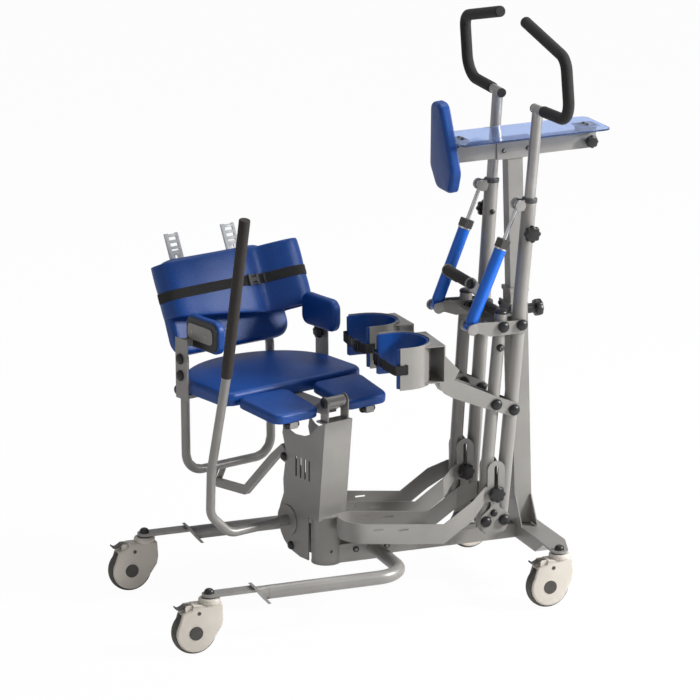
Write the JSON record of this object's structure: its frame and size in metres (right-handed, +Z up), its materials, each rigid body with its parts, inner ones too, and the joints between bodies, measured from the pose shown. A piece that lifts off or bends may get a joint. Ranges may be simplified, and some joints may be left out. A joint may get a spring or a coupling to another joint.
{
  "type": "standing frame",
  "caption": "Mobile standing frame with a lifting swivel seat, two swinging glider sides with knee cups and foot baskets, a mast with chest pad and tray, and four braked casters.",
  "frame": {"origin": "middle of the bounding box footprint, on the floor", "axes": "+X towards the mast, +Y to the left of a user who faces the mast, +Z up"},
  "size_m": [1.3608, 0.9574, 1.6221],
  "materials": {
    "grey_paint": "satin grey powder coat",
    "bright_steel": "polished",
    "blue_vinyl": "grained blue upholstery vinyl",
    "blue_paint": "gloss blue",
    "foam_grip": "closed-cell foam",
    "webbing": "woven black",
    "caster_plastic": "cream",
    "tyre": "grey rubber",
    "black_plastic": "matte",
    "clear_blue": "clear tinted"
  },
  "bodies": {
    "back_level_body": {"back_frame": "grey_paint", "backrest": "blue_vinyl", "belt": "webbing"},
    "foot_height_left_body": {"foot_basket_left": "grey_paint"},
    "foot_height_right_body": {"foot_basket_right": "grey_paint"},
    "foot_level_left_body": {"foot_link_left": "grey_paint"},
    "foot_level_right_body": {"foot_link_right": "grey_paint"},
    "front_left_pedal_body": {"front_left_pedal": "black_plastic"},
    "front_left_swivel_body": {"front_left_fork": "caster_plastic"},
    "front_left_wheel_body": {"front_left_wheel": "tyre"},
    "front_right_pedal_body": {"front_right_pedal": "black_plastic"},
    "front_right_swivel_body": {"front_right_fork": "caster_plastic"},
    "front_right_wheel_body": {"front_right_wheel": "tyre"},
    "front_swing_left_body": {"front_tube_left": "grey_paint"},
    "front_swing_right_body": {"front_tube_right": "grey_paint"},
    "glide_left_body": {"handle_tube_left": "grey_paint"},
    "glide_right_body": {"handle_tube_right": "grey_paint"},
    "handle_height_left_body": {"handle_grip_left": "foam_grip", "handle_stem_left": "bright_steel"},
    "handle_height_right_body": {"handle_grip_right": "foam_grip", "handle_stem_right": "bright_steel"},
    "knee_level_left_body": {"knee_arm_left": "grey_paint", "knee_pad_left": "blue_vinyl", "knee_shell_left": "grey_paint", "knee_strap_left": "webbing"},
    "knee_level_right_body": {"knee_arm_right": "grey_paint", "knee_pad_right": "blue_vinyl", "knee_shell_right": "grey_paint", "knee_strap_right": "webbing"},
    "link_swing_body": {"lower_link": "grey_paint"},
    "mast_height_body": {"upper_mast": "grey_paint"},
    "pump_body": {"pump_lever": "grey_paint"},
    "rear_left_pedal_body": {"rear_left_pedal": "black_plastic"},
    "rear_left_swivel_body": {"rear_left_fork": "caster_plastic"},
    "rear_left_wheel_body": {"rear_left_wheel": "tyre"},
    "rear_right_pedal_body": {"rear_right_pedal": "black_plastic"},
    "rear_right_swivel_body": {"rear_right_fork": "caster_plastic"},
    "rear_right_wheel_body": {"rear_right_wheel": "tyre"},
    "rod_swing_left_body": {"shock_rod_left": "bright_steel"},
    "rod_swing_right_body": {"shock_rod_right": "bright_steel"},
    "seat_lift_body": {"hip_pad_left": "blue_vinyl", "hip_pad_right": "blue_vinyl", "seat_cushion": "blue_vinyl", "seat_frame": "grey_paint", "thigh_cushion_left": "blue_vinyl", "thigh_cushion_right": "blue_vinyl"},
    "seat_swivel_body": {"hydraulic_unit": "black_plastic", "seat_column": "grey_paint"},
    "shock_swing_left_body": {"shock_cylinder_left": "blue_paint"},
    "shock_swing_right_body": {"shock_cylinder_right": "blue_paint"},
    "base": {"front_frame": "grey_paint", "grab_grip": "foam_grip", "grab_plate": "grey_paint", "hub_bracket": "grey_paint", "mast_tube": "grey_paint", "pivot_yoke": "grey_paint", "rear_leg_frame": "grey_paint"},
    "tray_reach_body": {"chest_pad": "blue_vinyl", "tray_beam": "grey_paint"},
    "tray_slide_body": {"tray": "clear_blue"}
  },
  "joints": [
    {"name": "back_level", "type": "hinge", "parent": "seat_lift_body", "child": "back_level_body", "pos_m": [-0.26272, 0.33496, 0.532], "axis": [0.9613, 0.2756, 0], "range_deg": [-60, 0]},
    {"name": "foot_height_left", "type": "slide", "parent": "foot_level_left_body", "child": "foot_height_left_body", "axis": [0, 0.0262, 0.9997], "range_m": [-0.025, 0]},
    {"name": "foot_height_right", "type": "slide", "parent": "foot_level_right_body", "child": "foot_height_right_body", "axis": [0, -0.0262, 0.9997], "range_m": [-0.025, 0]},
    {"name": "foot_level_left", "type": "hinge", "parent": "glide_left_body", "child": "foot_level_left_body", "pos_m": [0.34435, -0.00319, 0.21692], "axis": [0, 0.9997, -0.0262], "range_deg": [-3, 12]},
    {"name": "foot_level_right", "type": "hinge", "parent": "glide_right_body", "child": "foot_level_right_body", "pos_m": [0.34435, -0.22086, 0.21692], "axis": [0, 0.9997, 0.0262], "range_deg": [-3, 12]},
    {"name": "front_left_pedal_axis", "type": "hinge", "parent": "front_left_swivel_body", "child": "front_left_pedal_body", "pos_m": [0.39245, 0.16898, 0.1355], "axis": [0, 1, 0], "range_deg": [-12, 0]},
    {"name": "front_left_swivel", "type": "hinge", "parent": "base", "child": "front_left_swivel_body", "pos_m": [0.44845, 0.16898, 0], "axis": [0, 0, 1], "continuous": true},
    {"name": "front_left_wheel_axis", "type": "hinge", "parent": "front_left_swivel_body", "child": "front_left_wheel_body", "pos_m": [0.41245, 0.16898, 0.0625], "axis": [0, 1, 0], "continuous": true},
    {"name": "front_right_pedal_axis", "type": "hinge", "parent": "front_right_swivel_body", "child": "front_right_pedal_body", "pos_m": [0.39245, -0.39302, 0.1355], "axis": [0, 1, 0], "range_deg": [-12, 0]},
    {"name": "front_right_swivel", "type": "hinge", "parent": "base", "child": "front_right_swivel_body", "pos_m": [0.44845, -0.39302, 0], "axis": [0, 0, 1], "continuous": true},
    {"name": "front_right_wheel_axis", "type": "hinge", "parent": "front_right_swivel_body", "child": "front_right_wheel_body", "pos_m": [0.41245, -0.39302, 0.0625], "axis": [0, 1, 0], "continuous": true},
    {"name": "front_swing_left", "type": "hinge", "parent": "base", "child": "front_swing_left_body", "pos_m": [0.33345, 0.01148, 0.777], "axis": [0, 0.9997, -0.0262], "range_deg": [-12, 3]},
    {"name": "front_swing_right", "type": "hinge", "parent": "base", "child": "front_swing_right_body", "pos_m": [0.33345, -0.23552, 0.777], "axis": [0, 0.9997, 0.0262], "range_deg": [-12, 3]},
    {"name": "glide_left", "type": "hinge", "parent": "base", "child": "glide_left_body", "pos_m": [0.38845, 0.01148, 0.777], "axis": [0, 0.9997, -0.0262], "range_deg": [-12, 3]},
    {"name": "glide_right", "type": "hinge", "parent": "base", "child": "glide_right_body", "pos_m": [0.38845, -0.23552, 0.777], "axis": [0, 0.9997, 0.0262], "range_deg": [-12, 3]},
    {"name": "handle_height_left", "type": "slide", "parent": "glide_left_body", "child": "handle_height_left_body", "axis": [0.0785, 0.0261, 0.9966], "range_m": [-0.08, 0.12]},
    {"name": "handle_height_right", "type": "slide", "parent": "glide_right_body", "child": "handle_height_right_body", "axis": [0.0785, -0.0261, 0.9966], "range_m": [-0.08, 0.12]},
    {"name": "knee_level_left", "type": "hinge", "parent": "glide_left_body", "child": "knee_level_left_body", "pos_m": [0.36938, 0.00513, 0.53483], "axis": [0, 0.9997, -0.0262], "range_deg": [-3, 12]},
    {"name": "knee_level_right", "type": "hinge", "parent": "glide_right_body", "child": "knee_level_right_body", "pos_m": [0.36938, -0.22918, 0.53483], "axis": [0, 0.9997, 0.0262], "range_deg": [-3, 12]},
    {"name": "link_swing", "type": "hinge", "parent": "seat_swivel_body", "child": "link_swing_body", "pos_m": [-0.13179, -0.12164, 0.279], "axis": [0.9613, 0.2756, 0], "range_deg": [0, 60]},
    {"name": "mast_height", "type": "slide", "parent": "base", "child": "mast_height_body", "axis": [-0.0275, 0, 0.9996], "range_m": [-0.05, 0.15]},
    {"name": "pump", "type": "hinge", "parent": "seat_swivel_body", "child": "pump_body", "pos_m": [-0.21508, -0.01548, 0.213], "axis": [0.9613, 0.2756, 0], "range_deg": [-25, 10]},
    {"name": "rear_left_pedal_axis", "type": "hinge", "parent": "rear_left_swivel_body", "child": "rear_left_pedal_body", "pos_m": [-0.63855, 0.16898, 0.1355], "axis": [0, 1, 0], "range_deg": [-12, 0]},
    {"name": "rear_left_swivel", "type": "hinge", "parent": "base", "child": "rear_left_swivel_body", "pos_m": [-0.57355, 0.16898, 0], "axis": [0, 0, 1], "continuous": true},
    {"name": "rear_left_wheel_axis", "type": "hinge", "parent": "rear_left_swivel_body", "child": "rear_left_wheel_body", "pos_m": [-0.61855, 0.16898, 0.0625], "axis": [0, 1, 0], "continuous": true},
    {"name": "rear_right_pedal_axis", "type": "hinge", "parent": "rear_right_swivel_body", "child": "rear_right_pedal_body", "pos_m": [-0.63855, -0.39302, 0.1355], "axis": [0, 1, 0], "range_deg": [-12, 0]},
    {"name": "rear_right_swivel", "type": "hinge", "parent": "base", "child": "rear_right_swivel_body", "pos_m": [-0.57355, -0.39302, 0], "axis": [0, 0, 1], "continuous": true},
    {"name": "rear_right_wheel_axis", "type": "hinge", "parent": "rear_right_swivel_body", "child": "rear_right_wheel_body", "pos_m": [-0.61855, -0.39302, 0.0625], "axis": [0, 1, 0], "continuous": true},
    {"name": "rod_swing_left", "type": "hinge", "parent": "glide_left_body", "child": "rod_swing_left_body", "pos_m": [0.38176, 0.02026, 1.11244], "axis": [0, 0.9997, -0.0262], "range_deg": [-0.4, 1.6]},
    {"name": "rod_swing_right", "type": "hinge", "parent": "glide_right_body", "child": "rod_swing_right_body", "pos_m": [0.38176, -0.24431, 1.11244], "axis": [0, 0.9997, 0.0262], "range_deg": [-0.4, 1.6]},
    {"name": "seat_lift", "type": "hinge", "parent": "seat_swivel_body", "child": "seat_lift_body", "pos_m": [-0.12215, -0.15528, 0.585], "axis": [0.9613, 0.2756, 0], "range_deg": [0, 60]},
    {"name": "seat_swivel", "type": "hinge", "parent": "base", "child": "seat_swivel_body", "pos_m": [-0.13455, -0.11202, 0.24], "axis": [0, 0, 1], "range_deg": [0, 74]},
    {"name": "shock_swing_left", "type": "hinge", "parent": "base", "child": "shock_swing_left_body", "pos_m": [0.24245, 0.01148, 0.777], "axis": [0, 0.9997, -0.0262], "range_deg": [-10.5, 2.7]},
    {"name": "shock_swing_right", "type": "hinge", "parent": "base", "child": "shock_swing_right_body", "pos_m": [0.24245, -0.23552, 0.777], "axis": [0, 0.9997, 0.0262], "range_deg": [-10.5, 2.7]},
    {"name": "tray_reach", "type": "slide", "parent": "mast_height_body", "child": "tray_reach_body", "axis": [0.9996, 0, 0.0275], "range_m": [-0.04, 0.04]},
    {"name": "tray_slide", "type": "slide", "parent": "tray_reach_body", "child": "tray_slide_body", "axis": [0.9996, 0, 0.0275], "range_m": [0, 0.04]}
  ],
  "couplings": [
    {"joint": "seat_swivel", "follows": "seat_lift", "ratio": 1.2333},
    {"joint": "back_level", "follows": "seat_lift", "ratio": -1},
    {"joint": "link_swing", "follows": "seat_lift", "ratio": 1},
    {"joint": "front_swing_left", "follows": "glide_left", "ratio": 1},
    {"joint": "foot_level_left", "follows": "glide_left", "ratio": -1},
    {"joint": "knee_level_left", "follows": "glide_left", "ratio": -1},
    {"joint": "shock_swing_left", "follows": "glide_left", "ratio": 0.87},
    {"joint": "rod_swing_left", "follows": "glide_left", "ratio": -0.13},
    {"joint": "front_swing_right", "follows": "glide_right", "ratio": 1},
    {"joint": "foot_level_right", "follows": "glide_right", "ratio": -1},
    {"joint": "knee_level_right", "follows": "glide_right", "ratio": -1},
    {"joint": "shock_swing_right", "follows": "glide_right", "ratio": 0.87},
    {"joint": "rod_swing_right", "follows": "glide_right", "ratio": -0.13}
  ]
}
